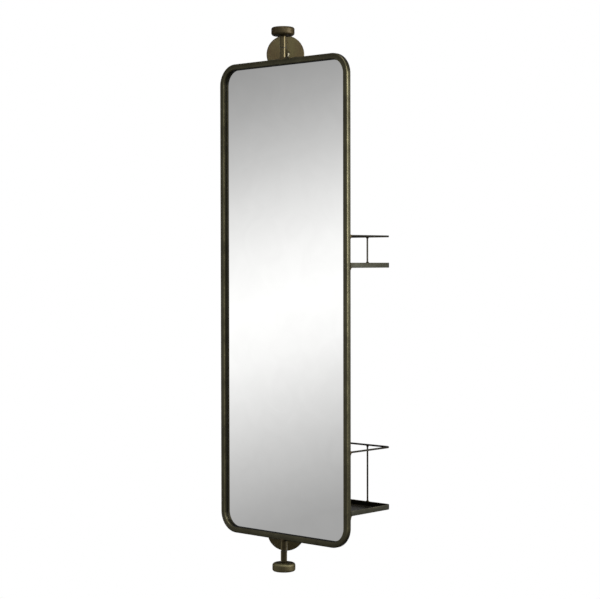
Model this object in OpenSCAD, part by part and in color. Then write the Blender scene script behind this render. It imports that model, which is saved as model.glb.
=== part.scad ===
// Pivot wall mirror. A tall mirror in a bent square tube turns about a vertical axis
// between two wall brackets. Two trays with wire rails are welded to its back, and a
// round knob on each pivot stud clamps the mirror at the angle it is turned to.
//
// The wall is the plane y = 0 and the mirror stands in front of it, towards -Y.
// +Z is up. The origin is the centre of the lower wall plate's back face.
// The mirror is drawn turned by rest_turn, its right edge towards the room.

/* [Mirror frame] */
// Outside width of the frame
frame_w = 300; // [240:5:380]
// Outside height of the frame
frame_h = 830; // [640:5:1000]
// Side of the square tube
tube_w = 10; // [9:0.5:14]
// Wall of the square tube
tube_wall = 1.5; // [1:0.1:2]
// Rounding of the tube's long edges
tube_edge_r = 2; // [1:0.1:2.5]
// Outer radius of the bent corners
frame_corner_r = 36; // [24:1:60]
// Turn of the mirror out of the wall's plane, in degrees
rest_turn = 42; // [0:1:80]

/* [Mirror glass] */
// Thickness of the silvered glass
glass_t = 3; // [2:0.1:3.2]
// Depth of the glass behind the frame's front face
glass_recess = 5.5; // [5:0.1:5.6]
// Gap all round the glass
glass_gap = 0.75; // [0.2:0.05:0.9]
// Thickness of the steel sheet behind the glass
back_sheet_t = 1; // [0.6:0.1:1.2]
// Width of each strip of mirror tape
tape_w = 20; // [10:1:40]
// Number of tape strips side by side
tape_count = 4; // [2:1:6]

/* [Trays and rails] */
// Depth of a tray behind the frame
tray_depth = 105; // [70:1:120]
// Outer radius of a tray's and a rail's rear corners
tray_corner_r = 9; // [6:0.5:20]
// Height of a tray's rim
rim_h = 8.5; // [6:0.5:16]
// Thickness of the rim's flat bar
rim_t = 3; // [2:0.1:4]
// Thickness of a tray's floor
floor_t = 1.5; // [1:0.1:3]
// Diameter of the rail wire
wire_d = 3.2; // [2.5:0.1:4.5]
// Diameter of the rail posts
post_d = 3; // [2.2:0.1:4]
// Distance from a tray's side to the outer posts
post_inset = 52; // [30:1:80]
// Number of posts under each rail
post_count = 3; // [2:1:5]
// Height of the lower tray's underside above the frame's lower edge
lower_tray_z = 56; // [45:1:120]
// Height of the upper tray's underside above the frame's lower edge
upper_tray_z = 471; // [300:1:520]
// Height of the lower rail's wire above its tray's underside
lower_rail_rise = 107; // [60:1:140]
// Height of the upper rail's wire above its tray's underside
upper_rail_rise = 53.5; // [30:0.5:80]

/* [Pivots] */
// Diameter of the pivot studs
stud_d = 6; // [5:0.5:7]
// Diameter of the spacers between the frame and the sleeves
spacer_d = 10; // [9.5:0.1:12]
// Length of the spacers
spacer_len = 18.4; // [12:0.1:30]
// Outer diameter of the sleeves
sleeve_d = 11; // [10.5:0.1:14]
// Length of the sleeves
sleeve_len = 20; // [16:0.5:30]
// Outer diameter of the bush inside a sleeve
bush_d = 8; // [7.6:0.1:9]
// Thickness of the bush's flange, seen as the joint line
flange_t = 0.8; // [0.5:0.1:2]
// Diameter of the clamp knobs
knob_d = 40; // [30:1:50]
// Thickness of the clamp knobs
knob_t = 14.5; // [12:0.5:20]

/* [Wall brackets] */
// Distance from the wall to the pivot axis
wall_gap = 220; // [205:1:260]
// Diameter of the arms
arm_d = 10; // [8:0.5:10.4]
// Fall of each arm from the wall to the pivot
arm_drop = 6; // [0:0.5:12]
// Diameter of the wall plates
plate_d = 70; // [62:1:90]
// Thickness of the wall plates
plate_t = 5; // [4:0.5:8]
// Diameter of the screw holes
screw_hole_d = 5; // [4:0.1:6]
// Distance between a plate's two screw holes
screw_pitch = 46; // [40:1:48]

/* [Clearances] */
// Radial clearance of a stud in its bush, spacer and knob
run_clear = 0.05; // [0.02:0.01:0.08]
// Gap between faces that turn on each other
turn_gap = 0.2; // [0.1:0.05:0.3]

/* [Hidden] */
// Rounding of a knob's outer and inner edges, and of a plate's front edge
knob_outer_r = 3.5;
knob_inner_r = 4.5;
plate_edge_r = 1.5;
// Depth of a stud's thread in its knob, and the room left beyond its tip
knob_grip = 9;
tip_gap = 0.5;
// Diameter of a screw hole's countersink
countersink_d = 9.5;
// Gap all round the back sheet, and how far the tape stays inside the glass
sheet_gap = 0.3;
tape_margin = 40;
// Size of the weld rings at the arms, the spacers and the posts
arm_weld_w = 3.5;
arm_weld_h = 3;
spacer_weld_w = 2.5;
spacer_weld_h = 2.5;
post_weld_w = 1.4;
post_weld_h = 1.8;
// Thickness of a weld ring at its thin end
weld_toe = 0.3;
// Size of the weld wedges under the trays and the rails
wedge_w = 3;
wedge_depth = 3;
wedge_h = 5;
// How far a cut runs past what it cuts
overrun = 1;
$fn = 96;

wire_r = wire_d / 2;
opening_w = frame_w - 2 * tube_w;
opening_h = frame_h - 2 * tube_w;
opening_r = frame_corner_r - tube_w;
// The tape takes up what is left between the glass and the back sheet
tape_t = tube_w - glass_recess - glass_t - back_sheet_t;
// Places along the pivot, counted outwards from the frame's edge
flange_z = spacer_len + turn_gap;
sleeve_z = flange_z + flange_t;
knob_z = sleeve_z + sleeve_len + turn_gap;
arm_z = sleeve_z + sleeve_len / 2;
stud_foot = tube_w - tube_wall;
stud_tip = knob_z + knob_grip;
// Heights above the lower wall plate's centre
frame_bottom_z = arm_z - arm_drop;
frame_mid_z = frame_bottom_z + frame_h / 2;
plate_pitch = frame_h + 2 * arm_z;
// The arm runs from the wall to the pivot axis
arm_fall = atan(arm_drop / wall_gap);
arm_len = sqrt(pow(wall_gap, 2) + pow(arm_drop, 2));
post_pitch = (frame_w - 2 * post_inset) / (post_count - 1);

brass = "#6e6048";
bright_brass = "#7d6e52";
zinc = "#8c8c88";
acetal = "#2e2a24";

// Places what turns with the mirror: X across the frame, Y out of its back, Z up,
// from the centre of the frame
module at_mirror() {
    translate([0, -wall_gap, frame_mid_z])
        rotate([0, 0, -rest_turn])
            children();
}

// Places what lies along the pivot at the frame's upper (1) or lower (-1) edge,
// with +Z outwards from the frame
module at_end(side) {
    at_mirror()
        translate([0, 0, side * frame_h / 2])
            rotate([side > 0 ? 0 : 180, 0, 0])
                children();
}

// Places a tray and its rail: X across, Y out from the frame's back face, Z up from
// the tray's underside
module at_tray(tray_z) {
    at_mirror()
        translate([0, tube_w / 2, tray_z - frame_h / 2])
            children();
}

// Places a wall plate's centre at the upper (1) or lower (-1) bracket
module at_plate(side) {
    translate([0, 0, side > 0 ? plate_pitch : 0])
        children();
}

// Rounded rectangle about its centre
module rounded_rect(w, h, r) {
    square([w, h - 2 * r], center = true);
    square([w - 2 * r, h], center = true);
    for (x = [-1, 1], y = [-1, 1])
        translate([x * (w / 2 - r), y * (h / 2 - r)])
            circle(r);
}

// Tube with a plain bore
module ring(outer_d, bore_d, h) {
    difference() {
        cylinder(d = outer_d, h = h);
        translate([0, 0, -overrun])
            cylinder(d = bore_d, h = h + 2 * overrun);
    }
}

// Weld ring that falls from a shaft of diameter d to a face at z = 0
module weld_ring(d, w, h) {
    difference() {
        cylinder(d1 = d + 2 * w, d2 = d + 2 * weld_toe, h = h);
        translate([0, 0, -overrun])
            cylinder(d = d, h = h + 2 * overrun);
    }
}

// A section carried round the frame's path, where inset is how far the section's
// middle lies inside the frame's outline
module frame_sweep(inset) {
    path_r = frame_corner_r - inset;
    upright = frame_h - 2 * frame_corner_r;
    crossbar = frame_w - 2 * frame_corner_r;
    for (side = [-1, 1]) {
        translate([side * (frame_w / 2 - inset), 0, 0])
            linear_extrude(upright, center = true)
                children();
        translate([0, 0, side * (frame_h / 2 - inset)])
            rotate([0, 90, 0])
                linear_extrude(crossbar, center = true)
                    children();
    }
    for (x = [-1, 1], z = [-1, 1])
        translate([x * crossbar / 2, 0, z * upright / 2])
            rotate([90, 0, 0])
                rotate([0, 0, (z > 0 ? 45 : -45) * x + (x > 0 ? 0 : 180) - 45])
                    rotate_extrude(angle = 90)
                        translate([path_r, 0])
                            children();
}

// Bent square tube, drilled through its outer wall for the two studs
module frame_tube() {
    color(brass)
        difference() {
            at_mirror()
                frame_sweep(tube_w / 2)
                    rounded_rect(tube_w, tube_w, tube_edge_r);
            at_mirror()
                frame_sweep(tube_w / 2)
                    square(tube_w - 2 * tube_wall, center = true);
            for (side = [-1, 1])
                at_end(side)
                    translate([0, 0, -tube_wall - overrun])
                        cylinder(d = stud_d + 2 * run_clear, h = tube_wall + 2 * overrun);
        }
}

// Flat sheet inside the frame's opening, from front_y behind the frame's front face
module opening_sheet(gap, front_y, t) {
    at_mirror()
        translate([0, front_y - tube_w / 2, 0])
            rotate([90, 0, 0])
                translate([0, 0, -t])
                    linear_extrude(t)
                        rounded_rect(opening_w - 2 * gap, opening_h - 2 * gap, opening_r - gap);
}

module mirror_glass() {
    color("silver") opening_sheet(glass_gap, glass_recess, glass_t);
}

module back_sheet() {
    color(brass) opening_sheet(sheet_gap, tube_w - back_sheet_t, back_sheet_t);
}

// Upright strips of tape that hold the glass to the back sheet
module mirror_tape() {
    strip_pitch = (opening_w - 2 * tape_margin) / (tape_count - 1);
    strip_h = opening_h - 2 * tape_margin;
    color("dimgray")
        at_mirror()
            for (i = [0 : tape_count - 1])
                translate([
                    (i - (tape_count - 1) / 2) * strip_pitch - tape_w / 2,
                    glass_recess + glass_t - tube_w / 2,
                    -strip_h / 2
                ])
                    cube([tape_w, tape_t, strip_h]);
}

// Outline of a tray, open to the frame, drawn inset from its outer edge
module tray_outline(inset) {
    w = frame_w - 2 * inset;
    depth = tray_depth - inset;
    r = tray_corner_r - inset;
    translate([-w / 2, 0])
        square([w, depth - r]);
    translate([r - w / 2, 0])
        square([w - 2 * r, depth]);
    for (side = [-1, 1])
        translate([side * (w / 2 - r), depth - r])
            circle(r);
}

// Sheet floor that lies inside the rim
module tray_floor(tray_z) {
    color(brass)
        at_tray(tray_z)
            linear_extrude(floor_t)
                tray_outline(rim_t);
}

// Flat bar bent round three sides of the floor
module tray_rim(tray_z) {
    inner_w = frame_w - 2 * rim_t;
    color(brass)
        at_tray(tray_z)
            linear_extrude(rim_h)
                difference() {
                    tray_outline(0);
                    tray_outline(rim_t);
                    translate([-inner_w / 2, -overrun])
                        square([inner_w, 2 * overrun]);
                }
}

// Wire bent round the same three sides, above the rim
module rail(tray_z, rise) {
    bend_r = tray_corner_r - wire_r;
    side_len = tray_depth - tray_corner_r;
    back_len = frame_w - 2 * tray_corner_r;
    color(brass)
        at_tray(tray_z)
            translate([0, 0, rise]) {
                for (side = [-1, 1]) {
                    translate([side * (frame_w / 2 - wire_r), 0, 0])
                        rotate([-90, 0, 0])
                            cylinder(r = wire_r, h = side_len);
                    translate([side * back_len / 2, side_len, 0])
                        rotate([0, 0, side > 0 ? 0 : 90])
                            rotate_extrude(angle = 90)
                                translate([bend_r, 0])
                                    circle(wire_r);
                }
                translate([-back_len / 2, tray_depth - wire_r, 0])
                    rotate([0, 90, 0])
                        cylinder(r = wire_r, h = back_len);
            }
}

// The rail's straight rear wire, as a cutter for what is welded under it
module rear_wire(rise) {
    translate([-frame_w / 2, tray_depth - wire_r, rise])
        rotate([0, 90, 0])
            cylinder(r = wire_r, h = frame_w);
}

// The place of each post on the rim's rear side
module at_posts() {
    for (i = [0 : post_count - 1])
        translate([(i - (post_count - 1) / 2) * post_pitch, tray_depth - wire_r, 0])
            children();
}

module rail_posts(tray_z, rise) {
    color(brass)
        at_tray(tray_z)
            difference() {
                at_posts()
                    translate([0, 0, rim_h])
                        cylinder(d = post_d, h = rise - rim_h);
                rear_wire(rise);
            }
}

// Weld rings at a post's foot and head, no wider than the bar and the wire
module post_welds(tray_z, rise) {
    weld_length = post_d + 2 * post_weld_w;
    head_h = post_weld_h + wire_r;
    color(bright_brass)
        at_tray(tray_z)
            difference() {
                at_posts() {
                    intersection() {
                        translate([0, 0, rim_h])
                            weld_ring(post_d, post_weld_w, post_weld_h);
                        translate([-weld_length / 2, wire_r - rim_t, rim_h])
                            cube([weld_length, rim_t, post_weld_h]);
                    }
                    intersection() {
                        translate([0, 0, rise])
                            mirror([0, 0, 1])
                                weld_ring(post_d, post_weld_w, head_h);
                        translate([-weld_length / 2, -wire_r, rise - head_h])
                            cube([weld_length, wire_d, head_h]);
                    }
                }
                rear_wire(rise);
            }
}

// Wedge of weld under a corner, with its square sides on the frame and on z = 0
module weld_wedge() {
    translate([-wedge_w / 2, 0, 0])
        rotate([90, 0, 90])
            linear_extrude(wedge_w)
                polygon([[0, 0], [wedge_depth, 0], [0, -wedge_h]]);
}

// Places a wedge under each side bar, on the flat of the frame's back face
module at_side_bars() {
    for (side = [-1, 1])
        translate([side * (frame_w / 2 - tube_edge_r - wedge_w / 2), 0, 0])
            children();
}

module tray_welds() {
    color(bright_brass)
        for (tray_z = [lower_tray_z, upper_tray_z])
            at_tray(tray_z)
                at_side_bars()
                    weld_wedge();
}

module rail_welds() {
    color(bright_brass)
        for (place = [[lower_tray_z, lower_rail_rise], [upper_tray_z, upper_rail_rise]])
            at_tray(place[0])
                translate([0, 0, place[1]])
                    difference() {
                        at_side_bars()
                            weld_wedge();
                        for (side = [-1, 1])
                            translate([side * (frame_w / 2 - wire_r), -overrun, 0])
                                rotate([-90, 0, 0])
                                    cylinder(r = wire_r, h = wedge_depth + 2 * overrun);
                    }
}

// Stud that stands in the frame tube and runs out to the knob
module stud(side) {
    color(zinc)
        at_end(side)
            translate([0, 0, -stud_foot])
                cylinder(d = stud_d, h = stud_foot + stud_tip);
}

module spacer(side) {
    color(brass)
        at_end(side)
            ring(spacer_d, stud_d + 2 * run_clear, spacer_len);
}

// Weld between the spacer's foot and the tube, filled down over the tube's rounded edges
module spacer_weld(side) {
    foot_d = spacer_d + 2 * spacer_weld_w;
    color(bright_brass)
        at_end(side)
            difference() {
                intersection() {
                    union() {
                        cylinder(d1 = foot_d, d2 = spacer_d + 2 * weld_toe, h = spacer_weld_h);
                        translate([0, 0, -tube_edge_r])
                            cylinder(d = foot_d, h = tube_edge_r);
                    }
                    translate([-foot_d / 2, -tube_w / 2, -tube_edge_r])
                        cube([foot_d, tube_w, tube_edge_r + spacer_weld_h]);
                }
                cylinder(d = spacer_d, h = spacer_len);
                translate([0, 0, -tube_w / 2])
                    rotate([0, 90, 0])
                        linear_extrude(foot_d + 2 * overrun, center = true)
                            rounded_rect(tube_w, tube_w, tube_edge_r);
                translate([0, 0, -tube_edge_r - overrun])
                    cylinder(d = stud_d, h = tube_edge_r + 2 * overrun);
            }
}

// Flanged bush, pressed into the sleeve from the mirror's side
module bush(side) {
    color(acetal)
        at_end(side)
            translate([0, 0, flange_z])
                difference() {
                    union() {
                        cylinder(d = spacer_d, h = flange_t);
                        cylinder(d = bush_d, h = flange_t + sleeve_len);
                    }
                    translate([0, 0, -overrun])
                        cylinder(d = stud_d + 2 * run_clear, h = flange_t + sleeve_len + 2 * overrun);
                }
}

module sleeve(side) {
    color(brass)
        at_end(side)
            translate([0, 0, sleeve_z])
                ring(sleeve_d, bush_d, sleeve_len);
}

// Round knob with softened edges and a blind hole for the stud
module knob(side) {
    r = knob_d / 2;
    color(brass)
        at_end(side)
            translate([0, 0, knob_z])
                difference() {
                    rotate_extrude() {
                        square([r - knob_inner_r, knob_t - knob_outer_r]);
                        square([r - knob_inner_r - knob_outer_r, knob_t]);
                        translate([0, knob_inner_r])
                            square([r, knob_t - knob_inner_r - knob_outer_r]);
                        translate([0, knob_inner_r])
                            square([r - knob_outer_r, knob_t - knob_inner_r]);
                        translate([r - knob_inner_r, knob_inner_r])
                            circle(knob_inner_r);
                        translate([r - knob_outer_r, knob_t - knob_outer_r])
                            circle(knob_outer_r);
                    }
                    translate([0, 0, -overrun])
                        cylinder(d = stud_d + 2 * run_clear, h = knob_grip + tip_gap + overrun);
                }
}

// The arm's round rod from the wall to the pivot axis, before it is cut to fit
module arm_rod() {
    rotate([90 + arm_fall, 0, 0])
        cylinder(d = arm_d, h = arm_len);
}

// Arm between the plate's front face and the sleeve
module arm(side) {
    color(brass)
        at_plate(side)
            difference() {
                arm_rod();
                translate([-arm_d, -plate_t, -arm_d])
                    cube([2 * arm_d, plate_t + arm_d, 2 * arm_d]);
                translate([0, -wall_gap, -arm_drop - sleeve_len])
                    cylinder(d = sleeve_d, h = 2 * sleeve_len);
            }
}

// Weld ring where the arm stands on the plate
module arm_weld(side) {
    root_drop = plate_t * arm_drop / wall_gap;
    color(bright_brass)
        at_plate(side)
            difference() {
                translate([0, -plate_t, -root_drop])
                    rotate([90, 0, 0])
                        cylinder(
                            d1 = arm_d + 2 * arm_weld_w,
                            d2 = arm_d + 2 * weld_toe,
                            h = arm_weld_h
                        );
                arm_rod();
            }
}

// Round plate with a softened front edge and two countersunk screw holes
module wall_plate(side) {
    r = plate_d / 2;
    sink_h = (countersink_d - screw_hole_d) / 2;
    color(brass)
        at_plate(side)
            rotate([90, 0, 0])
                difference() {
                    rotate_extrude() {
                        square([r, plate_t - plate_edge_r]);
                        square([r - plate_edge_r, plate_t]);
                        translate([r - plate_edge_r, plate_t - plate_edge_r])
                            circle(plate_edge_r);
                    }
                    for (up = [-1, 1])
                        translate([0, up * screw_pitch / 2, 0]) {
                            translate([0, 0, -overrun])
                                cylinder(d = screw_hole_d, h = plate_t + 2 * overrun);
                            translate([0, 0, plate_t - sink_h])
                                cylinder(d1 = screw_hole_d, d2 = countersink_d, h = sink_h);
                        }
                }
}

wall_plate(-1);  // lower_wall_plate
wall_plate(1);  // upper_wall_plate
arm(-1);  // lower_arm
arm(1);  // upper_arm
arm_weld(-1);  // lower_arm_weld
arm_weld(1);  // upper_arm_weld
sleeve(-1);  // lower_sleeve
sleeve(1);  // upper_sleeve
bush(-1);  // lower_bush
bush(1);  // upper_bush
stud(-1);  // lower_stud
stud(1);  // upper_stud
spacer(-1);  // lower_spacer
spacer(1);  // upper_spacer
spacer_weld(-1);  // lower_spacer_weld
spacer_weld(1);  // upper_spacer_weld
knob(-1);  // lower_knob
knob(1);  // upper_knob
frame_tube();
mirror_glass();
mirror_tape();
back_sheet();
tray_floor(lower_tray_z);  // lower_tray_floor
tray_rim(lower_tray_z);  // lower_tray_rim
rail(lower_tray_z, lower_rail_rise);  // lower_rail
rail_posts(lower_tray_z, lower_rail_rise);  // lower_rail_posts
tray_floor(upper_tray_z);  // upper_tray_floor
tray_rim(upper_tray_z);  // upper_tray_rim
rail(upper_tray_z, upper_rail_rise);  // upper_rail
rail_posts(upper_tray_z, upper_rail_rise);  // upper_rail_posts
post_welds(lower_tray_z, lower_rail_rise);  // lower_post_welds
post_welds(upper_tray_z, upper_rail_rise);  // upper_post_welds
tray_welds();
rail_welds();
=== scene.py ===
"""Pivot wall mirror: a tall mirror in a bent square tube that turns between two wall brackets,
with two railed trays brazed to its back. All that shows is antique brass, except the glass, the
foam cord round it and the bushes' thin flanges.

Lengths are metres in the row frame. +Z is up, the wall is the plane y = 0 and the room lies
towards -Y. The origin is the centre of the lower wall plate's back face.
"""

import math

import bpy
import numpy as np
from mathutils import Matrix, Vector


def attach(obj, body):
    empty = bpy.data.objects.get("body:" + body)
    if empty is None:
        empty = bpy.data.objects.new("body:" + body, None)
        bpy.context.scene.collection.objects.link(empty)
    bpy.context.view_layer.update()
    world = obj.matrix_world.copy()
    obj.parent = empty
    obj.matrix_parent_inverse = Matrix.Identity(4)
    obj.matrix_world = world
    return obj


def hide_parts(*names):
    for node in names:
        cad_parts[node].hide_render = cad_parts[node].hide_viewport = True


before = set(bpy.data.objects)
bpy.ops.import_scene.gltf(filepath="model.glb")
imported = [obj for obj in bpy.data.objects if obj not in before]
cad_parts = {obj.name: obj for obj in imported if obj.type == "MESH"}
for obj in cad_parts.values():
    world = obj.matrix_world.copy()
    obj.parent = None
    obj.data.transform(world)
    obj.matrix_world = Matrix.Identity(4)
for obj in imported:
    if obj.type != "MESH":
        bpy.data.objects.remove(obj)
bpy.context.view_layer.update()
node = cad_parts
MM = 0.001

# ---------------------------------------------------------------------------------------------
# Camera. A long lens at chest height, almost square to the wall. The picture is 600 pixels wide
# and its focal length in pixels comes from the fit to the photograph.
PICTURE_W = 600
FOCAL_PIXELS = 1607.8
SENSOR_W = 36.0
camera_place = Vector((0.058, -2.9937, 0.5070))
yaw, pitch, roll = (math.radians(angle) for angle in (0.607, -1.392, -0.092))

level_forward = Vector((-math.sin(yaw), math.cos(yaw), 0))
forward = math.cos(pitch) * level_forward + math.sin(pitch) * Vector((0, 0, 1))
level_right = Vector((math.cos(yaw), math.sin(yaw), 0))
level_up = level_right.cross(forward)
right = math.cos(roll) * level_right + math.sin(roll) * level_up
up = math.cos(roll) * level_up - math.sin(roll) * level_right

lens = bpy.data.cameras.new("camera")
lens.sensor_width = SENSOR_W
lens.lens = SENSOR_W * FOCAL_PIXELS / PICTURE_W
camera = bpy.data.objects.new("camera", lens)
axes = Matrix((right, up, -forward)).transposed().to_4x4()
camera.matrix_world = Matrix.Translation(camera_place) @ axes
bpy.context.scene.collection.objects.link(camera)
bpy.context.scene.camera = camera
bpy.context.scene.view_settings.view_transform = "Standard"


# ---------------------------------------------------------------------------------------------
# Studio. A white surround that the lens sees as plain white. Metal and glass see it as a long
# white band at eye level that darkens above and below, which is what the mirror shows.
def linear(colour):
    """An sRGB hex colour as linear RGBA. A channel is divided by 12.92 up to 0.04045, and above
    that it is (channel + 0.055) / 1.055 to the power of 2.4."""
    channels = np.array([int(colour[i : i + 2], 16) for i in (1, 3, 5)]) / 255
    curve = np.where(channels <= 0.04045, channels / 12.92, ((channels + 0.055) / 1.055) ** 2.4)
    return (*curve.tolist(), 1.0)


def connect(tree, made, sockets):
    """Gives each of a node's sockets a value, or a link from another node's output."""
    for socket, value in sockets.items():
        if isinstance(value, bpy.types.NodeSocket):
            tree.links.new(value, made.inputs[socket])
        else:
            made.inputs[socket].default_value = value


def add_node(tree, kind, sockets=None, **settings):
    """Adds a node with its settings, and its sockets' values and links."""
    made = tree.nodes.new(kind)
    for name, value in settings.items():
        setattr(made, name, value)
    connect(tree, made, sockets or {})
    return made


def add_maths(tree, operation, *values):
    """Adds a maths node on one or two values and returns its output."""
    sockets = dict(enumerate(values))
    return add_node(tree, "ShaderNodeMath", sockets, operation=operation).outputs[0]


def add_ramp(tree, factor, stops):
    """Adds a colour ramp through (place, linear RGBA) stops and returns its colour output."""
    made = add_node(tree, "ShaderNodeValToRGB", {"Fac": factor})
    while len(made.color_ramp.elements) < len(stops):
        made.color_ramp.elements.new(0.5)
    for element, (place, colour) in zip(made.color_ramp.elements, stops):
        element.position, element.color = place, colour
    return made.outputs["Color"]


# The band lies across an axis that leans towards the wall, so it climbs towards the lens.
BAND_LEAN = math.radians(16.5)
# Brightness against the sine of the angle from the band's plane. The strip at 0.26 to 0.31
# lights the edges of the upright rods.
band_levels = [
    (-1.0, 0.12), (-0.6, 0.15), (-0.45, 0.28), (-0.34, 0.36), (-0.28, 0.42), (-0.24, 0.38),
    (-0.178, 0.41), (-0.166, 0.465), (-0.137, 0.625), (-0.107, 0.83), (-0.078, 1.03),
    (-0.048, 1.12), (-0.018, 1.01), (0.012, 0.82), (0.041, 0.61), (0.071, 0.445), (0.094, 0.36),
    (0.14, 0.27), (0.21, 0.20), (0.26, 0.75), (0.31, 0.75), (0.37, 0.25), (0.50, 0.48),
    (1.0, 0.70),
]
# The surround's brightness for matt things
DIFFUSE_LEVEL = 0.50

world = bpy.data.worlds.new("white studio")
bpy.context.scene.world = world
world.use_nodes = True
tree = world.node_tree
tree.nodes.clear()
direction = add_node(tree, "ShaderNodeTexCoord").outputs["Generated"]
height = add_node(
    tree, "ShaderNodeVectorMath",
    {0: direction, 1: (0, math.sin(BAND_LEAN), math.cos(BAND_LEAN))}, operation="DOT_PRODUCT",
).outputs["Value"]
place = add_node(
    tree, "ShaderNodeMapRange", {"Value": height, "From Min": -1, "From Max": 1}
).outputs[0]
band = add_ramp(tree, place, [((s + 1) / 2, (level, level, level, 1)) for s, level in band_levels])
ray = add_node(tree, "ShaderNodeLightPath").outputs
surround = (DIFFUSE_LEVEL, DIFFUSE_LEVEL, DIFFUSE_LEVEL, 1)
white = (1, 1, 1, 1)
views = (("Is Transmission Ray", white), ("Is Glossy Ray", band), ("Is Camera Ray", white))
for kind, seen in views:
    surround = add_node(
        tree, "ShaderNodeMix", {0: ray[kind], 6: surround, 7: seen}, data_type="RGBA"
    ).outputs[2]
background = add_node(tree, "ShaderNodeBackground", {"Color": surround, "Strength": 1.0})
add_node(tree, "ShaderNodeOutputWorld", {"Surface": background.outputs[0]})

# Softboxes, brightest in the middle and fading over the outer part of their cloth, so the mirror
# shows no hard-edged lamp. Each is placed by the angle from the lens's side of the object, the
# height angle, the distance, the two sides and the power in watts.
SOFT_EDGE = 0.25
object_middle = Vector((0, -0.22, 0.44))
lamps = {
    "key lamp": (68, 9, 2.8, 2.5, 1.3, 57.0),
    "top lamp": (20, 75, 2.4, 1.2, 1.2, 8.0),
    "front lamp": (10, 28, 2.8, 1.4, 0.6, 12.0),
}
for name, (turn, rise, distance, width, tall, power) in lamps.items():
    a, e = math.radians(turn), math.radians(rise)
    towards = Vector((math.sin(a) * math.cos(e), -math.cos(a) * math.cos(e), math.sin(e)))
    light = bpy.data.lights.new(name, "AREA")
    light.shape, light.size, light.size_y, light.energy = "RECTANGLE", width, tall, power
    light.use_nodes = True
    tree = light.node_tree
    # Places on the cloth run from 0 to 1 along both sides. The fade along each side takes away
    # the share SOFT_EDGE of the light, which the strength makes up for.
    cloth = add_node(tree, "ShaderNodeNewGeometry").outputs["Parametric"]
    along = add_node(tree, "ShaderNodeSeparateXYZ", {0: cloth}).outputs
    strength = 1 / (1 - SOFT_EDGE) ** 2
    for part in (along[0], along[1]):
        off_middle = add_maths(tree, "ABSOLUTE", add_maths(tree, "SUBTRACT", part, 0.5))
        fade = add_node(
            tree, "ShaderNodeMapRange",
            {"Value": off_middle, "From Min": 0.5, "From Max": 0.5 - SOFT_EDGE},
            interpolation_type="SMOOTHSTEP",
        ).outputs[0]
        strength = add_maths(tree, "MULTIPLY", strength, fade)
    connect(tree, tree.nodes["Emission"], {"Strength": strength})
    lamp = bpy.data.objects.new(name, light)
    lamp.location = object_middle + towards * distance
    lamp.rotation_euler = (-towards).to_track_quat("-Z", "Y").to_euler()
    bpy.context.scene.collection.objects.link(lamp)

# The pale floor lies 0.9 m under the lower bracket, as under a mirror hung at face height. It
# fades out towards its edge, so no line shows where it ends.
FLOOR_Z = -0.9
FLOOR_R = 3.4
FLOOR_FADE_R = 1.6
FLOOR_HUB_R = 0.05
FLOOR_RINGS = 12
FLOOR_SPOKES = 96


def full_turn(count):
    """Even angles round a full turn, from 0."""
    return np.linspace(0, 2 * math.pi, count + 1)[:-1]


angle = full_turn(FLOOR_SPOKES)
radius = np.linspace(FLOOR_HUB_R, FLOOR_R, FLOOR_RINGS)[:, None]
rings = np.stack([radius * np.cos(angle), radius * np.sin(angle), 0 * radius * angle + FLOOR_Z], -1)
ids = np.arange(FLOOR_RINGS * FLOOR_SPOKES).reshape(-1, FLOOR_SPOKES)
after = np.roll(ids, -1, 1)
quads = np.stack([ids[:-1], ids[1:], after[1:], after[:-1]], -1)
faces = quads.reshape(-1, 4).tolist() + [ids[0].tolist()]
floor_mesh = bpy.data.meshes.new("floor")
floor_mesh.from_pydata(rings.reshape(-1, 3).tolist(), [], faces)
floor = bpy.data.objects.new("floor", floor_mesh)
bpy.context.scene.collection.objects.link(floor)

material = bpy.data.materials.new("matt white floor paint")
material.use_nodes = True
tree = material.node_tree
tree.nodes.clear()
spot = add_node(tree, "ShaderNodeTexCoord").outputs["Object"]
flat = add_node(
    tree, "ShaderNodeVectorMath", {0: spot, 1: (1, 1, 0)}, operation="MULTIPLY"
).outputs[0]
reach = add_node(tree, "ShaderNodeVectorMath", {0: flat}, operation="LENGTH").outputs["Value"]
fade = add_node(
    tree, "ShaderNodeMapRange", {"Value": reach, "From Min": FLOOR_FADE_R, "From Max": FLOOR_R},
    interpolation_type="SMOOTHSTEP",
).outputs[0]
# Metal and glass see past the floor to the surround, and it hides nothing from below
glossy = add_node(tree, "ShaderNodeLightPath").outputs["Is Glossy Ray"]
from_below = add_node(tree, "ShaderNodeNewGeometry").outputs["Backfacing"]
fade = add_maths(tree, "MAXIMUM", add_maths(tree, "MAXIMUM", fade, glossy), from_below)
paint = add_node(tree, "ShaderNodeBsdfDiffuse", {"Color": linear("#efeeec")})
clear = add_node(tree, "ShaderNodeBsdfTransparent")
mixed = add_node(tree, "ShaderNodeMixShader", {0: fade, 1: paint.outputs[0], 2: clear.outputs[0]})
add_node(tree, "ShaderNodeOutputMaterial", {"Surface": mixed.outputs[0]})
floor_mesh.materials.append(material)


# ---------------------------------------------------------------------------------------------
# Wall plates. Two 70 mm discs cut from 5 mm brass plate, their front edges turned round, each
# with two countersunk screw holes. Darkened with a chemical patina, rubbed back and lacquered.
# Bare brass where the patina is worn through. On the frame's edges and the knobs it is partly a
# painted highlight
BARE_BRASS_AND_SHEEN = "#827c5c"
CLOUD = 45 * MM
MOTTLE = 5 * MM
# How far the mottles and the streaks darken and lighten the patina, and how deep they are
MOTTLE_CONTRAST = 0.12
STREAK_CONTRAST = 0.14
RELIEF_DEPTH = 0.08 * MM
# The oxide's tint at a low angle, where clean brass would turn white. It is thin on the drawn
# and turned rods, which stay the brightest.
THICK_FILM = "#5f5540"
THIN_FILM = "#d0c8b0"
LACQUER_ROUGH = 0.22


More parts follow.
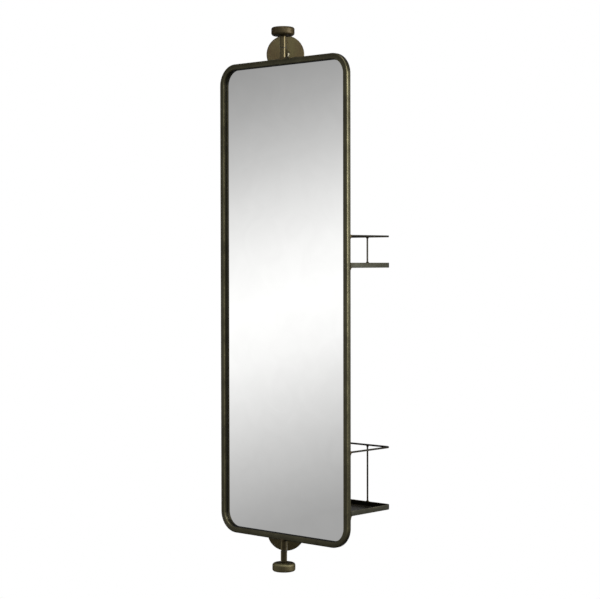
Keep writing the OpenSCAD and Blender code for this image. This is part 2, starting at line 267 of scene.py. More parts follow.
def new_material(name):
    """A new material, its node tree, its shader and its object's own coordinates."""
    made = bpy.data.materials.new(name)
    made.use_nodes = True
    tree = made.node_tree
    spot = add_node(tree, "ShaderNodeTexCoord").outputs["Object"]
    return made, tree, tree.nodes["Principled BSDF"], spot


def add_bump(tree, relief, strength, depth):
    """Adds a bump from a pattern, depth metres deep, and returns its normal."""
    sockets = {"Height": relief, "Strength": strength, "Distance": depth}
    return add_node(tree, "ShaderNodeBump", sockets).outputs[0]


def antique_brass(
    name, dark, light, grain, rough, turn=0.0, uv_streaks=False, edge=False,
    lacquer=0.3, film=THICK_FILM,
):
    """Brass with a dark chemical patina, rubbed back by hand and lacquered. The patina lies in
    clouds from the dark colour to the light one, with finer mottles, and the rubbing leaves
    streaks. The lacquer, whole at 1, gives the pale sheen, and film is the tint at a low angle.
    Where edge is set, an attribute lets the bare brass through, more in some places: wear, and on
    the frame and the knobs partly painted light.

    grain is the size of a streak in mm along X, Y and Z of axes turned by turn, or along U and V
    with uv_streaks. Real rubbing marks are 0.1 mm wide and don't show, so these are coarser."""
    made, tree, shader, spot = new_material(name)
    clouds = add_node(
        tree, "ShaderNodeTexNoise",
        {"Vector": spot, "Scale": 1 / CLOUD, "Detail": 4, "Roughness": 0.55, "Distortion": 0.6},
    ).outputs[0]
    mottle = add_node(
        tree, "ShaderNodeTexNoise",
        {"Vector": spot, "Scale": 1 / MOTTLE, "Detail": 3, "Roughness": 0.6},
    ).outputs[0]
    if uv_streaks:
        flow = add_node(tree, "ShaderNodeUVMap", uv_map="UVMap").outputs[0]
    else:
        flow = add_node(
            tree, "ShaderNodeMapping", {"Vector": spot, "Rotation": (0, 0, turn)}
        ).outputs[0]
    stretched = add_node(
        tree, "ShaderNodeVectorMath", {0: flow, 1: tuple(1 / (size * MM) for size in grain)},
        operation="MULTIPLY",
    ).outputs[0]
    streaks = add_node(
        tree, "ShaderNodeTexNoise", {"Vector": stretched, "Scale": 1, "Detail": 2, "Roughness": 0.5}
    ).outputs[0]
    colour = add_ramp(tree, clouds, [(0.32, linear(dark)), (0.68, linear(light))])
    middle = {"From Min": 0.3, "From Max": 0.7}
    for pattern, contrast in ((mottle, MOTTLE_CONTRAST), (streaks, STREAK_CONTRAST)):
        tone = add_node(
            tree, "ShaderNodeMapRange",
            {"Value": pattern, **middle, "To Min": 1 - contrast, "To Max": 1 + contrast},
        ).outputs[0]
        colour = add_node(
            tree, "ShaderNodeVectorMath", {0: colour, "Scale": tone}, operation="SCALE"
        ).outputs[0]
    # Bare brass from the attribute: wear, and on the frame and the knobs partly painted light
    if edge:
        bare = add_node(tree, "ShaderNodeAttribute", attribute_name="bare_edge_and_sheen").outputs["Fac"]
        patchy = add_node(
            tree, "ShaderNodeMapRange",
            {"Value": clouds, "From Min": 0.35, "From Max": 0.65, "To Min": 0.35, "To Max": 1.0},
        ).outputs[0]
        bare = add_maths(tree, "MULTIPLY", bare, patchy)
        colour = add_node(
            tree, "ShaderNodeMix", {0: bare, 6: colour, 7: linear(BARE_BRASS_AND_SHEEN)}, data_type="RGBA"
        ).outputs[2]
    gloss = add_node(
        tree, "ShaderNodeMapRange",
        {"Value": mottle, **middle, "To Min": rough - 0.05, "To Max": rough + 0.06},
    ).outputs[0]
    relief = add_maths(tree, "ADD", streaks, mottle)
    connect(tree, shader, {
        "Base Color": colour, "Roughness": gloss, "Metallic": 1.0, "Specular Tint": linear(film),
        "Normal": add_bump(tree, relief, 0.25, RELIEF_DEPTH),
        "Coat Weight": lacquer, "Coat Roughness": LACQUER_ROUGH,
    })
    return made


def finish_node(name, made):
    """Gives a CAD node one material."""
    node[name].data.materials.clear()
    node[name].data.materials.append(made)


ENDS = ("lower", "upper")
PLATE_T = 5 * MM
PLATE_HEIGHTS = (0, 0.8888)
plate_brass = antique_brass(
    "orbital rubbed brass plate", "#473924", "#534d30", (2.5, 2.5, 2.5), 0.38
)
for end in ENDS:
    finish_node(f"{end}_wall_plate", plate_brass)


# ---------------------------------------------------------------------------------------------
# Arms. A 10 mm drawn brass rod runs from each wall plate to the pivot, its front end coped to fit
# the sleeve. A ring of brazing, laid in overlapping drops, holds its root to the plate.

# Faces that meet at more than this keep a hard edge between them
SHARP_ANGLE = math.radians(40)


def ring_surface(name, parts, closed=False, wear=None):
    """One mesh of closed parts, each an array of rings x points x 3. Each ring joins round to its
    first point and each ring joins the next, the last to the first if closed, and otherwise both
    end rings are filled. UV holds metres: U along the rings and V round them. wear, from 0 to 1
    and shaped to fit rings x points, becomes the attribute bare_edge_and_sheen.

    A part's faces are turned outwards by the sign of its volume: the sum, over its triangles, of
    one corner dotted with the cross product of the other two."""
    vertices, faces, places = [], [], []
    for rings in parts:
        count, around = rings.shape[:2]
        points = rings.reshape(-1, 3)
        spans = count if closed else count - 1
        i, j = np.meshgrid(np.arange(spans), np.arange(around), indexing="ij")
        row = np.stack([i, i + 1, i + 1, i], -1).reshape(-1, 4)
        column = np.stack([j, j, j + 1, j + 1], -1).reshape(-1, 4)
        quads = row % count * around + column % around
        along = np.linalg.norm(np.roll(rings, -1, 0) - rings, axis=2).mean(1)
        across = np.linalg.norm(np.roll(rings, -1, 1) - rings, axis=2).mean(0)
        u, v = (np.concatenate([[0], np.cumsum(steps)]) for steps in (along, across))
        uv = np.stack([u[row], v[column]], -1)
        last = (count - 1) * around
        ends = [] if closed else [np.arange(around), np.arange(last + around - 1, last - 1, -1)]
        triangles = [quads[:, [0, 1, 2]], quads[:, [0, 2, 3]]]
        triangles += [
            np.stack([np.full(around - 2, end[0]), end[1:-1], end[2:]], -1) for end in ends
        ]
        a, b, c = (points[np.concatenate(triangles)[:, k]] for k in range(3))
        if np.einsum("ij,ij->", a, np.cross(b, c)) < 0:
            quads, uv, ends = quads[:, ::-1], uv[:, ::-1], [end[::-1] for end in ends]
        first = sum(map(len, vertices))
        vertices.append(points)
        faces += (quads + first).tolist() + [(end + first).tolist() for end in ends]
        places += [uv.reshape(-1, 2)] + [np.zeros((around, 2)) for end in ends]
    mesh = bpy.data.meshes.new(name)
    mesh.from_pydata(np.concatenate(vertices).tolist(), [], faces)
    mesh.uv_layers.new(name="UVMap").data.foreach_set("uv", np.concatenate(places).ravel())
    mesh.polygons.foreach_set("use_smooth", np.ones(len(mesh.polygons), bool))
    mesh.set_sharp_from_angle(angle=SHARP_ANGLE)
    if wear is not None:
        spread = [np.broadcast_to(wear, rings.shape[:2]).ravel() for rings in parts]
        bare_edge_and_sheen = mesh.attributes.new("bare_edge_and_sheen", "FLOAT", "POINT")
        bare_edge_and_sheen.data.foreach_set("value", np.concatenate(spread))
    piece = bpy.data.objects.new(name, mesh)
    bpy.context.scene.collection.objects.link(piece)
    return piece


# How far a bead's hidden faces lie inside the metal that it joins
SUNK = 0.3 * MM


def weld_bead(shaft_r, reach, rise, foot, drops, lump=0.18 * MM):
    """Rings of a weld bead round a shaft that stands along Z. At each angle a line falls from the
    shaft at height rise to the face below, at radius shaft_r + reach(angle), where the face's
    height is foot(x, y). Both ends of the line wander by up to a tenth, by sines of the angle.
    The line bulges by a sine, and the bulge swells and shrinks by lump with each of the drops,
    whose crests trail in a crescent."""
    angle = full_turn(drops * 8)[:, None]
    fall = np.linspace(0, 1, 13)[None, :]
    spread = reach(angle) * (1 + 0.06 * np.sin(3 * angle + 0.7) + 0.04 * np.sin(7 * angle))
    toe_r = shaft_r + spread
    toe_z = foot(toe_r * np.cos(angle), toe_r * np.sin(angle))
    top_z = rise * (1 + 0.06 * np.sin(2 * angle + 1.1) + 0.04 * np.sin(5 * angle))
    crest = 0.5 + 0.5 * np.cos(drops * angle + 2.4 * np.sin(math.pi * fall))
    bulge = np.sin(math.pi * fall) * (0.06 * spread + lump * (crest - 0.3))
    slope = np.hypot(spread, top_z - toe_z)
    r = shaft_r + spread * fall + bulge * (top_z - toe_z) / slope
    z = top_z + (toe_z - top_z) * fall + bulge * spread / slope
    inner_r = np.full_like(angle, shaft_r - SUNK)
    inner_z = np.full_like(angle, toe_z.min() - SUNK)
    r = np.concatenate([r, toe_r - SUNK / 2, inner_r, inner_r], 1)
    z = np.concatenate([z, toe_z - SUNK, inner_z, top_z - SUNK / 2], 1)
    return np.stack([r * np.cos(angle), r * np.sin(angle), z], -1)


def dress(piece, made, body, slot, *stands_for):
    """Gives a piece its material and the body it rides on, and hides the nodes it stands for. slot
    is not used.
    """
    piece.data.materials.append(made)
    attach(piece, body)
    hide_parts(*stands_for)


def level_face(x, y):
    """Height of a level face, for a bead's foot."""
    return 0 * x


rod_brass = antique_brass(
    "drawn brass rod under patina", "#41371f", "#534b32", (1.2, 30, 1.2), 0.3, film=THIN_FILM
)
# The ring is lighter than the other brass: filed bright, and partly a painted glint at the arm's
# root
ring_brass_and_glint = antique_brass(
    "brazed ring, filed bright, with painted glint", "#67614f", "#7d7764", (1.5, 1.5, 1.5), 0.25
)
ARM_R = 5 * MM
ARM_BEAD_REACH = 3.3 * MM
ARM_BEAD_RISE = 3 * MM
ARM_DROPS = 30
# The arm falls a little from its plate, so the bead's middle lies this much lower
ARM_SINK = 0.14 * MM
for end, plate_z in zip(ENDS, PLATE_HEIGHTS):
    finish_node(f"{end}_arm", rod_brass)
    bead = weld_bead(
        ARM_R, lambda angle: ARM_BEAD_REACH + 0 * angle, ARM_BEAD_RISE, level_face, ARM_DROPS
    )
    bead = bead[..., [0, 2, 1]] * (1, -1, 1) + (0, -PLATE_T, plate_z - ARM_SINK)
    dress(
        ring_surface(f"{end}_arm_bead", [bead], closed=True), ring_brass_and_glint,
        "wall_brackets", "weld_bead", f"{end}_arm_weld",
    )

# ---------------------------------------------------------------------------------------------
# Wall screws. Two slotted, countersunk brass screws hold each plate, their heads filed flush and
# darkened with it. What is in the wall isn't drawn.
SCREW_PLACES = np.array([-23, 23]) * MM
SCREW_HEAD_R = 4.6 * MM
SCREW_SHANK_R = 2.2 * MM
SCREW_FLUSH = 0.1 * MM
SCREW_CHAMFER = 0.15 * MM
SLOT_HALF = 0.55 * MM
SLOT_DEPTH = 1.1 * MM


def slotted_head(way):
    """Rings of a screw on the Y axis, from the middle of its head to its cut end. Each ring has
    two spans over the slot, whose half angle is the arc sine of the slot's half width over the
    ring's radius, and two over the head between them. way turns the slot."""
    rim = (SCREW_HEAD_R - SCREW_CHAMFER, SCREW_HEAD_R)
    r = np.array([0.1 * MM, SLOT_HALF, 0.6 * MM, 1.2 * MM, 2 * MM, 3 * MM, *rim])
    half = np.arcsin(np.minimum(SLOT_HALF / r, 1))[:, None]
    over, beside = np.linspace(-1, 1, 7), np.linspace(0, 1, 21)
    spans = [half * over, half + (math.pi - 2 * half) * beside]
    angle = np.concatenate(spans + [span + math.pi for span in spans], 1) + way
    sunk = np.tile(np.repeat([SLOT_DEPTH, 0], [len(over), len(beside)]), (len(r), 2))
    sunk[:2] = SLOT_DEPTH
    sunk[-1] = np.maximum(sunk[-1], SCREW_CHAMFER)
    cone_end = SCREW_HEAD_R - SCREW_SHANK_R + SLOT_DEPTH
    # The shank is cut off just short of the wall
    cut_end = PLATE_T - SCREW_FLUSH - 0.05 * MM
    r = np.append(r, [SCREW_SHANK_R, SCREW_SHANK_R])
    angle = np.concatenate([angle, angle[-1:], angle[-1:]])
    shank = np.repeat([[cone_end], [cut_end]], angle.shape[1], axis=1)
    sunk = np.concatenate([sunk, shank])
    y = sunk + SCREW_FLUSH - PLATE_T
    return np.stack([r[:, None] * np.cos(angle), y, r[:, None] * np.sin(angle)], -1)


screw_brass = antique_brass(
    "slotted brass screw under patina", "#453820", "#564c31", (1, 1, 1), 0.36
)
# Which way each slot was left, in radians
SLOT_WAYS = ((0.5, 2.1), (1.2, 2.8))
for end, plate_z, ways in zip(ENDS, PLATE_HEIGHTS, SLOT_WAYS):
    heads = [slotted_head(way) + (0, 0, plate_z + z) for z, way in zip(SCREW_PLACES, ways)]
    dress(ring_surface(f"{end}_wall_screws", heads), screw_brass, "wall_brackets", "bracket_brass")

# ---------------------------------------------------------------------------------------------
# Sleeves and bushes. Turned brass sleeves stand on the arms' front ends. A flanged acetal bush is
# pressed into each from the mirror's side, and its flange is the thin dark line at the joint.
sleeve_brass = antique_brass(
    "turned brass rod under patina", "#3f361f", "#524a32", (40, 40, 0.9), 0.21, film=THIN_FILM
)

# Length of one wave of a wave texture whose scale is 1
WAVE = 2 * math.pi / 20

acetal, tree, shader, spot = new_material("machined black acetal")
# Turning marks 0.3 mm apart, up the bush's axis
marks = add_node(
    tree, "ShaderNodeTexWave",
    {"Vector": spot, "Scale": WAVE / (0.3 * MM), "Distortion": 0.4},
    bands_direction="Z",
).outputs["Fac"]
connect(tree, shader, {
    "Base Color": add_ramp(tree, marks, [(0, linear("#131110")), (1, linear("#1c1916"))]),
    "Roughness": 0.5,
    "Normal": add_bump(tree, marks, 0.2, 0.02 * MM),
})
for end in ENDS:
    finish_node(f"{end}_sleeve", sleeve_brass)
    finish_node(f"{end}_bush", acetal)


# ---------------------------------------------------------------------------------------------
# Frame. One length of 10 mm square brass tube bent to a rounded rectangle. Its long edges show bare
# brass, partly rubbed through and partly a painted highlight, and its butt joint is under the lower
# spacer.
REST_TURN = math.radians(42)
PIVOT = np.array([0, -220, 438.4]) * MM
FRAME_HALF_W = 150 * MM
FRAME_HALF_H = 415 * MM
FRAME_CORNER_R = 36 * MM
TUBE_W = 10 * MM
TUBE_EDGE_R = 2 * MM


def from_mirror(points):
    """Points on the mirror's own axes, X across, Y out of its back and Z up from its middle, in
    the row frame: x cos t + y sin t and y cos t - x sin t for the rest turn t, plus the pivot."""
    x, y, z = np.moveaxis(points, -1, 0)
    c, s = math.cos(REST_TURN), math.sin(REST_TURN)
    return np.stack([x * c + y * s, y * c - x * s, z], -1) + PIVOT


def bent_path(line, bend_r, closed=False):
    """Points of a bar bent from straight lengths, and its sideways unit vectors, to the right of
    the way it runs. An arc of bend_r replaces each corner of the line. It starts bend_r times
    the tangent of half the turn before the corner, and its points are its centre plus or minus
    bend_r times the sideways vector as that turns."""
    line = np.array(line, float)
    ahead = np.roll(line, -1, 0) - line
    heading = np.arctan2(ahead[:, 1], ahead[:, 0])
    step = np.linspace(0, 1, 17)[:, None]
    points, sides = [line[:1]], [np.array([[math.sin(heading[0]), -math.cos(heading[0])]])]
    for k in range(1, len(line) if closed else len(line) - 1):
        turn = (heading[k] - heading[k - 1] + math.pi) % (2 * math.pi) - math.pi
        sign = math.copysign(1, turn)
        before = np.array([math.cos(heading[k - 1]), math.sin(heading[k - 1])])
        start = line[k] - before * bend_r * math.tan(abs(turn) / 2)
        way = heading[k - 1] + turn * step
        side = np.concatenate([np.sin(way), -np.cos(way)], 1)
        points.append(start - sign * bend_r * side[0] + sign * bend_r * side)
        sides.append(side)
    if not closed:
        points.append(line[-1:])
        sides.append(sides[-1][-1:])
    return np.concatenate(points), np.concatenate(sides)


def round_rectangle(half_w, half_h, bend_r):
    """Closed path round an upright rectangle with bent corners, from the middle of its foot."""
    corners = [(half_w, -half_h), (half_w, half_h), (-half_w, half_h), (-half_w, -half_h)]
    return bent_path([(0, -half_h)] + corners, bend_r, closed=True)


def rounded_bar(width, height, edge_r):
    """Section of a rounded bar, width sideways by height, from the middle of its left side, and
    its wear: each corner is a quarter circle, and wear is the sine of twice its angle."""
    angle = np.linspace(0, math.pi / 2, 9)
    points = []
    for k, (x, y) in enumerate(((-1, -1), (1, -1), (1, 1), (-1, 1))):
        middle = np.array([x * (width / 2 - edge_r), y * (height / 2 - edge_r)])
        around = angle + math.pi + k * math.pi / 2
        points.append(middle + edge_r * np.stack([np.cos(around), np.sin(around)], -1))
    return np.concatenate(points), np.tile(np.sin(2 * angle), 4)


def swept(path, section):
    """A section carried along a path: each ring is a path point plus the section's first value
    along the sideways vector, with its second value as the third coordinate."""
    points, sides = path
    flat = points[:, None] + sides[:, None] * section[None, :, :1]
    level = np.broadcast_to(section[None, :, 1:], flat.shape[:2] + (1,))
    return np.concatenate([flat, level], -1)


frame_brass = antique_brass(
    "drawn square brass tube under patina", "#383525", "#474431", (70, 1.3, 1), 0.34,
    uv_streaks=True, edge=True,
)
section, wear = rounded_bar(TUBE_W, TUBE_W, TUBE_EDGE_R)
inset = TUBE_W / 2
path = round_rectangle(FRAME_HALF_W - inset, FRAME_HALF_H - inset, FRAME_CORNER_R - inset)
tube = swept(path, section)[..., [0, 2, 1]]
# The upright sides' edges get the most bare brass, partly rubbed by the hands that turn the mirror
# and partly a painted highlight where the key lamp catches them. The square of the sideways
# vector's first part is 1 there, and 0 along the level sides.
LEAST_WEAR_AND_SHEEN = 0.25
wear = wear * (LEAST_WEAR_AND_SHEEN + (1 - LEAST_WEAR_AND_SHEEN) * path[1][:, :1] ** 2)
dress(
    ring_surface("bent_frame", [from_mirror(tube)], closed=True, wear=wear), frame_brass,
    "mirror", "frame_brass", "frame_tube",
)

# ---------------------------------------------------------------------------------------------
# Studs. Zinc-plated steel rods fixed in the frame's upper and lower bars. The mirror turns on
# them, and the knobs screw onto their ends.
zinc, tree, shader, spot = new_material("zinc-plated steel")
# Thread crests 1 mm apart, the pitch of a 6 mm thread
thread = add_node(
    tree, "ShaderNodeTexWave", {"Vector": spot, "Scale": WAVE / (1 * MM)}, bands_direction="Z"
).outputs["Fac"]
# The plating's blush comes in 4 mm patches
blush = add_node(
    tree, "ShaderNodeTexNoise", {"Vector": spot, "Scale": 1 / (4 * MM), "Detail": 3}
).outputs[0]
connect(tree, shader, {
    "Base Color": add_ramp(tree, blush, [(0.35, linear("#8f9090")), (0.65, linear("#b3b2aa"))]),
    "Metallic": 1.0, "Roughness": 0.32,
    "Normal": add_bump(tree, thread, 0.5, 0.3 * MM),
})
for end in ENDS:
    finish_node(f"{end}_stud", zinc)

# ---------------------------------------------------------------------------------------------
# Spacers. A turned brass tube on each stud keeps the frame off the sleeve. It is brazed round its
# foot, and the braze runs down over the square tube's rounded edges.
SPACER_R = 5 * MM
SPACER_BEAD_REACH = 2.5 * MM
SPACER_BEAD_RISE = 2.5 * MM
SPACER_DROPS = 26
# The least reach of any bead, and the least sine or cosine that a length is divided by
LEAST_REACH = 0.08 * MM
LEAST_SINE = 1e-3


def tube_back_off(across):
    """How far the square tube's face lies below its flat, at a distance across it: the edge radius
    less the root of its square minus the square of the distance past the flat."""
    past = np.clip(np.abs(across) - (TUBE_W / 2 - TUBE_EDGE_R), 0, TUBE_EDGE_R)
    return np.sqrt(TUBE_EDGE_R**2 - past**2) - TUBE_EDGE_R


def within(reach, shaft_r, limit):
    """Reach of a bead that stops at a bar's sides, limit away: the least of its full reach and
    limit / |sin angle| less the shaft's radius."""

    def reach_at(angle):
        to_side = limit / np.maximum(np.abs(np.sin(angle)), LEAST_SINE) - shaft_r
        return np.clip(to_side, LEAST_REACH, reach)

    return reach_at


bead_brass = antique_brass(
    "brazed bead under patina", "#463b24", "#5d523a", (1.5, 1.5, 1.5), 0.38
)
spacer_reach = within(SPACER_BEAD_REACH, SPACER_R, TUBE_W / 2)
for end, side in zip(ENDS, (-1, 1)):
    finish_node(f"{end}_spacer", sleeve_brass)
    bead = weld_bead(
        SPACER_R, spacer_reach, SPACER_BEAD_RISE, lambda x, y: tube_back_off(y), SPACER_DROPS
    )
    bead = bead * (1, 1, side) + (0, 0, side * FRAME_HALF_H)
    dress(
        ring_surface(f"{end}_spacer_bead", [from_mirror(bead)], closed=True), bead_brass,
        "mirror", "weld_bead", f"{end}_spacer_weld",
    )

# ---------------------------------------------------------------------------------------------
# Glass. 3 mm float glass, silvered on its back, with ground edges. Its front lies 5.5 mm behind
# the frame's. The silver gives a clear, colourless reflection, and shows some way behind that
# front, as the glass bends the light, so this piece's bright face lies there.
GLASS_HALF = np.array([139.25, 404.25]) * MM
GLASS_CORNER_R = 25.25 * MM
SILVER_Y, GLASS_BACK_Y = 1.8 * MM, 3.5 * MM
ARRIS = 0.2 * MM

silvered, tree, silver, spot = new_material("silvered float glass")
# Wiping leaves a film in 60 mm arcs, too thin to see except at a low angle
wiped = add_node(
    tree, "ShaderNodeTexNoise",
    {"Vector": spot, "Scale": 1 / (60 * MM), "Detail": 3, "Distortion": 1.5},
).outputs[0]
connect(tree, silver, {
    "Base Color": add_ramp(tree, wiped, [(0.3, linear("#f4f4f3")), (0.7, linear("#f7f7f6"))]),
    "Metallic": 1.0, "Roughness": 0.006,
})
# The edges, which don't face along the mirror's own depth, are ground and green
ground = add_node(
    tree, "ShaderNodeBsdfPrincipled", {"Base Color": linear("#5d7a6c"), "Roughness": 0.45}
)
normal = add_node(tree, "ShaderNodeTexCoord").outputs["Normal"]
back_way = (math.sin(REST_TURN), math.cos(REST_TURN), 0)
facing = add_node(
    tree, "ShaderNodeVectorMath", {0: normal, 1: back_way}, operation="DOT_PRODUCT"
).outputs["Value"]
flat_face = add_maths(tree, "GREATER_THAN", add_maths(tree, "ABSOLUTE", facing), 0.9)
mixed = add_node(
    tree, "ShaderNodeMixShader", {0: flat_face, 1: ground.outputs[0], 2: silver.outputs[0]}
)
connect(tree, tree.nodes["Material Output"], {"Surface": mixed.outputs[0]})

points, sides = round_rectangle(*GLASS_HALF, GLASS_CORNER_R)
# The sideways vectors point outwards, and each ring is the outline drawn in by its inset
slab = [
    np.insert(points - inset * sides, 1, y, axis=1)
    for inset, y in (
        (ARRIS, SILVER_Y), (0, SILVER_Y + ARRIS), (0, GLASS_BACK_Y - ARRIS), (ARRIS, GLASS_BACK_Y)
    )
]
dress(
    ring_surface("silvered_glass", [from_mirror(np.array(slab))]), silvered,
    "mirror", "mirror_glass", "mirror_glass",
)

# ---------------------------------------------------------------------------------------------
# Tape. Four strips of closed-cell foam tape hold the glass to the sheet behind it, and a thin
# foam cord is pressed into the gap between the glass's edge and the tube.
foam, tree, shader, spot = new_material("closed-cell foam tape")
# Cells of 0.5 mm
cells = add_node(
    tree, "ShaderNodeTexVoronoi", {"Vector": spot, "Scale": 1 / (0.5 * MM)}
).outputs["Distance"]
connect(tree, shader, {
    "Base Color": add_ramp(tree, cells, [(0, linear("#1d1d1d")), (0.8, linear("#303030"))]),
    "Roughness": 0.85,
    "Normal": add_bump(tree, cells, 0.4, 0.1 * MM),
})
finish_node("mirror_tape", foam)

OPENING_HALF = np.array([140, 405]) * MM
OPENING_R = 26 * MM
CORD_SIZE = np.array([0.7, 2.0]) * MM
CORD_EDGE_R = 0.25 * MM
CORD_PAST_GLASS = 0.4 * MM
section, _ = rounded_bar(*CORD_SIZE, CORD_EDGE_R)
inset = CORD_SIZE[0] / 2
path = round_rectangle(*(OPENING_HALF - inset), OPENING_R - inset)
cord = swept(path, section)[..., [0, 2, 1]]
cord += (0, GLASS_BACK_Y + CORD_PAST_GLASS - CORD_SIZE[1] / 2, 0)
dress(
    ring_surface("glass_edge_cord", [from_mirror(cord)], closed=True), foam, "mirror", "foam_tape"
)

# ---------------------------------------------------------------------------------------------
# Back sheet. 1 mm sheet, brushed up and down and given the same patina, set flush in the frame's
# back. Sixteen small tacks of braze hold it to the tube.
sheet_brass = antique_brass(
    "brushed sheet under patina", "#4c402a", "#5f573c", (1.6, 1.6, 45), 0.40, turn=REST_TURN
)
finish_node("back_sheet", sheet_brass)

TACK_SIZE = np.array([2.0, 3.4, 0.8]) * MM
TACKS_UP = np.array([-300, -150, 0, 150, 300]) * MM
TACKS_ACROSS = np.array([-80, 0, 80]) * MM
SHEET_HALF_W = 140.9 * MM
SHEET_HALF_H = 405.9 * MM


def tack(upright, x, z):
    """Rings of one tack on the frame's back face: an oval dome whose height is a sine and whose
    width a cosine of the same angle. Its outline is lumpy by up to 0.12, and differs from tack to
    tack with its place. It lies along the sheet's edge, which is upright or level."""
    around = full_turn(24)[None, :]
    level = np.radians([-35, -15, 0, 15, 30, 45, 60, 75, 87])[:, None]
    lumpy = 1 + 0.07 * np.sin(3 * around + 40 * x) + 0.05 * np.sin(2 * around + 25 * z)
    wide, tall, high = TACK_SIZE if upright else TACK_SIZE[[1, 0, 2]]
    ring = np.cos(level) * lumpy
    return np.stack([
        x + wide * ring * np.cos(around),
        TUBE_W / 2 + high * np.sin(level) + 0 * around,
        z + tall * ring * np.sin(around),
    ], -1)


tacks = [tack(True, side * SHEET_HALF_W, z) for side in (-1, 1) for z in TACKS_UP]
tacks += [tack(False, x, side * SHEET_HALF_H) for side in (-1, 1) for x in TACKS_ACROSS]
dress(
    ring_surface("sheet_tacks", [from_mirror(rings) for rings in tacks]), bead_brass,
    "mirror", "weld_bead",
)

# ---------------------------------------------------------------------------------------------
# Trays. The floor is 1.5 mm sheet and the rim 3 mm flat bar, bent round three sides and brazed to
# it. Brushed lengthways, with the rim's edges rubbed bright.
TRAY_DEPTH = 105 * MM
TRAY_CORNER_R = 9 * MM
RIM_T = 3 * MM
RIM_H = 8.5 * MM
RIM_EDGE_R = 0.5 * MM
TRAY_UNDERSIDES = np.array([56, 471]) * MM - FRAME_HALF_H

floor_brass = antique_brass(
    "brushed tray sheet under patina", "#4e4a3d", "#5f5b4f", (40, 1.4, 1.4), 0.36, turn=REST_TURN
)
rim_brass = antique_brass(
    "rolled flat bar under patina", "#3a382d", "#48483d", (50, 1.2, 1), 0.34,
    uv_streaks=True, edge=True,
)


def at_tray(points, underside):
    """Points on a tray's axes, Y out from the frame's back and Z up from its underside, in the
    row frame."""
    return from_mirror(points + (0, TUBE_W / 2, underside))


def three_sides(inset):
    """Path along a tray's two sides and its rear, inset from their outer faces."""
    x, y = FRAME_HALF_W - inset, TRAY_DEPTH - inset
    return bent_path([(-x, 0), (-x, y), (x, y), (x, 0)], TRAY_CORNER_R - inset)


section, wear = rounded_bar(RIM_T, RIM_H, RIM_EDGE_R)
for end, underside in zip(ENDS, TRAY_UNDERSIDES):
    finish_node(f"{end}_tray_floor", floor_brass)
    rim = swept(three_sides(RIM_T / 2), section) + (0, 0, RIM_H / 2)
    dress(
        ring_surface(f"{end}_rim_bar", [at_tray(rim, underside)], wear=wear), rim_brass,
        "mirror", "tray_brass", f"{end}_tray_rim",
    )

# ---------------------------------------------------------------------------------------------
# Rails and posts. Drawn 3.2 mm wire bent round the same three sides, on three 3 mm posts. Each
# post is brazed at its foot to the rim and at its head to the wire.
WIRE_R = 1.6 * MM
POST_R = 1.5 * MM
RAIL_RISES = np.array([107, 53.5]) * MM
POST_PLACES = np.array([-98, 0, 98]) * MM
POST_Y = TRAY_DEPTH - WIRE_R
POST_BEAD_REACH = 1.4 * MM
POST_BEAD_RISE = 1.8 * MM
POST_DROPS = 12
POST_LUMP = 0.1 * MM


def wire_top(x, y):
    """Height of the wire's surface over its axis, y to the side of it."""
    return np.sqrt(np.maximum(WIRE_R**2 - y**2, 0))


wire_brass = antique_brass("drawn wire under patina", "#2f2c22", "#3d3b30", (1.5, 1.5, 6), 0.36)
foot_bead = weld_bead(
    POST_R, within(POST_BEAD_REACH, POST_R, RIM_T / 2), POST_BEAD_RISE,
    level_face, POST_DROPS, POST_LUMP,
)
head_bead = weld_bead(
    POST_R, within(POST_BEAD_REACH, POST_R, WIRE_R), WIRE_R + POST_BEAD_RISE,
    wire_top, POST_DROPS, POST_LUMP,
)
for end, underside, rise in zip(ENDS, TRAY_UNDERSIDES, RAIL_RISES):
    finish_node(f"{end}_rail", wire_brass)
    finish_node(f"{end}_rail_posts", wire_brass)
    beads = [foot_bead + (x, POST_Y, RIM_H) for x in POST_PLACES]
    beads += [head_bead * (1, 1, -1) + (x, POST_Y, rise) for x in POST_PLACES]
    placed = [at_tray(bead, underside) for bead in beads]
    dress(
        ring_surface(f"{end}_post_beads", placed, closed=True), bead_brass,
        "mirror", "weld_bead", f"{end}_post_welds",
    )

# ---------------------------------------------------------------------------------------------
# Tray and rail brazing. A fillet under each tray side fills its corner with the frame, the lower
# tray's the taller, and a bead that is fullest below runs round each end of the rails' wires.
FILLET_X = 148 * MM
FILLET_W = 3 * MM
FILLET_DEPTH = 4 * MM
FILLET_HEIGHTS = (7 * MM, 4.5 * MM)
RAIL_END_X = FRAME_HALF_W - WIRE_R
RAIL_BEAD_RISE = 2.6 * MM
RAIL_BEAD_REACH = 0.6 * MM
RAIL_BEAD_DRIP = 3.2 * MM
RAIL_DROPS = 14


def weld_fillet(height):
    """Rings of a fillet in the corner of an upright face, Y = 0, and a level one, Z = 0, above
    it. Its face is hollow: depth (1 - t)^1.5 out and height t^1.5 down. It swells by 0.06 with
    each of three drops, and thins by the square of the way from its middle, to 0.78 at its
    ends."""
    x = np.linspace(-1, 1, 25)[:, None]
    t = np.linspace(0, 1, 13)[None, :]
    swell = (1 - 0.22 * x**2) * (1 + 0.06 * np.cos(3 * math.pi * x + 2 * t))
    y = FILLET_DEPTH * swell * (1 - t) ** 1.5
    z = -height * swell * t**1.5
    y = np.concatenate([y, 0 * x - SUNK, 0 * x - SUNK, y[:, :1]], 1)
    z = np.concatenate([z, z[:, -1:], 0 * x + SUNK, 0 * x + SUNK], 1)
    return np.stack([x * FILLET_W / 2 + 0 * y, y, z], -1)


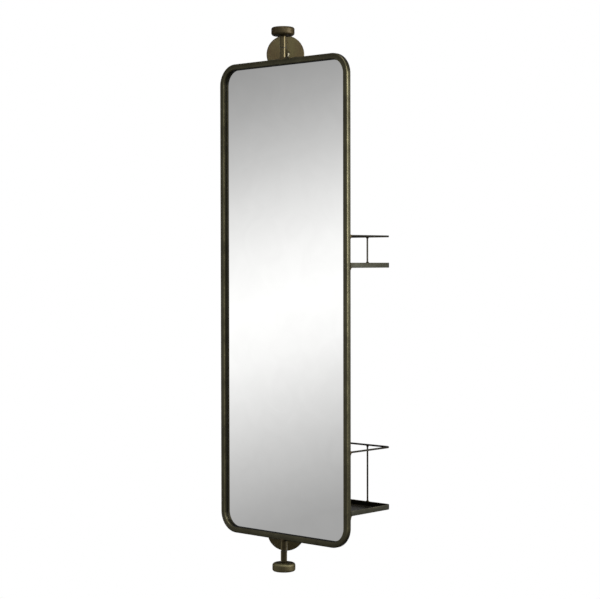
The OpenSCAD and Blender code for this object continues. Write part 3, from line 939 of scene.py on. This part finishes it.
def rail_reach(angle):
    """Reach of the bead round a wire's end: its reach, and more straight below by its drip times
    the cube of the sine, but never past the frame's side."""
    below = RAIL_BEAD_REACH + RAIL_BEAD_DRIP * np.maximum(-np.sin(angle), 0) ** 3
    outside = WIRE_R / np.maximum(np.cos(angle), LEAST_SINE) - WIRE_R
    return np.clip(np.minimum(below, outside), LEAST_REACH, None)


def frame_side(x, y):
    """Height of the frame's back, x outwards from the wire's end."""
    return tube_back_off(x + RAIL_END_X - FRAME_HALF_W + TUBE_W / 2)


rail_bead = weld_bead(WIRE_R, rail_reach, RAIL_BEAD_RISE, frame_side, RAIL_DROPS)[..., [0, 2, 1]]
fillets, rail_beads = [], []
for underside, rise, height in zip(TRAY_UNDERSIDES, RAIL_RISES, FILLET_HEIGHTS):
    for side in (-1, 1):
        fillets.append(at_tray(weld_fillet(height) + (side * FILLET_X, 0, 0), underside))
        at_end = rail_bead * (side, 1, 1) + (side * RAIL_END_X, 0, rise)
        rail_beads.append(at_tray(at_end, underside))
dress(ring_surface("tray_fillets", fillets), bead_brass, "mirror", "weld_bead", "tray_welds")
dress(
    ring_surface("rail_beads", rail_beads, closed=True), bead_brass,
    "mirror", "weld_bead", "rail_welds",
)

# ---------------------------------------------------------------------------------------------
# Knobs. Solid brass, turned with a full round towards the frame and a tighter one outside, and
# bored for the stud. Patinated like the rest, with the rounds rubbed bright and the lacquer worn
# thin. The lower knob gets much more bare brass than the upper, all over: painted light that
# lightens the lower knob and dulls the upper one's highlight.
KNOB_R = 20 * MM
KNOB_T = 14.5 * MM
KNOB_Z = 39.6 * MM
KNOB_INNER_R = 4.5 * MM
KNOB_OUTER_R = 3.5 * MM
BORE_R = 3.05 * MM
BORE_DEPTH = 9.5 * MM
BORE_CHAMFER = 0.4 * MM
POLE_R = 0.3 * MM


def knob_profile():
    """Radius, height and wear along the knob's outline, from the bottom of its bore, over its
    inner round, side and outer round, to the middle of its end. Wear is a sine over each round."""
    quarter = np.linspace(0, math.pi / 2, 15)
    inner_x, outer_x = KNOB_R - KNOB_INNER_R, KNOB_R - KNOB_OUTER_R
    r = [[POLE_R, BORE_R, BORE_R, BORE_R + BORE_CHAMFER, inner_x / 2]]
    z = [[BORE_DEPTH, BORE_DEPTH, BORE_CHAMFER, 0, 0]]
    r += [inner_x + KNOB_INNER_R * np.sin(quarter)]
    z += [KNOB_INNER_R * (1 - np.cos(quarter))]
    wear = [np.zeros(5), np.sin(2 * quarter)]
    r += [outer_x + KNOB_OUTER_R * np.cos(quarter), [outer_x / 2, POLE_R]]
    z += [KNOB_T - KNOB_OUTER_R * (1 - np.sin(quarter)), [KNOB_T, KNOB_T]]
    wear += [np.sin(2 * quarter), np.zeros(2)]
    return tuple(np.concatenate(values) for values in (r, z, wear))


knob_brass = antique_brass(
    "turned brass knob under patina", "#453926", "#524a35", (0.9, 400, 1), 0.54,
    uv_streaks=True, edge=True, lacquer=0.1,
)
# Bare brass on the flats, what the rounds add to it, and how much of it each knob gets, lower then
# upper. The last is painted light, not wear
FLAT_WEAR = 0.3
ROUND_WEAR = 0.5
HANDLED_AND_LIT = (1.25, 0.1)

r, z, wear = knob_profile()
wear = FLAT_WEAR + ROUND_WEAR * wear[:, None]
angle = full_turn(128)
turned = np.stack([
    np.outer(r, np.cos(angle)), np.outer(r, np.sin(angle)), np.outer(z, 1 + 0 * angle)
], -1)
for end, side, handled_and_lit in zip(ENDS, (-1, 1), HANDLED_AND_LIT):
    placed = (turned + (0, 0, KNOB_Z)) * (1, 1, side) + (0, 0, side * FRAME_HALF_H)
    knob = ring_surface(f"{end}_turned_knob", [from_mirror(placed)], wear=handled_and_lit * wear)
    dress(knob, knob_brass, f"{end}_clamp", "knob_brass", f"{end}_knob")
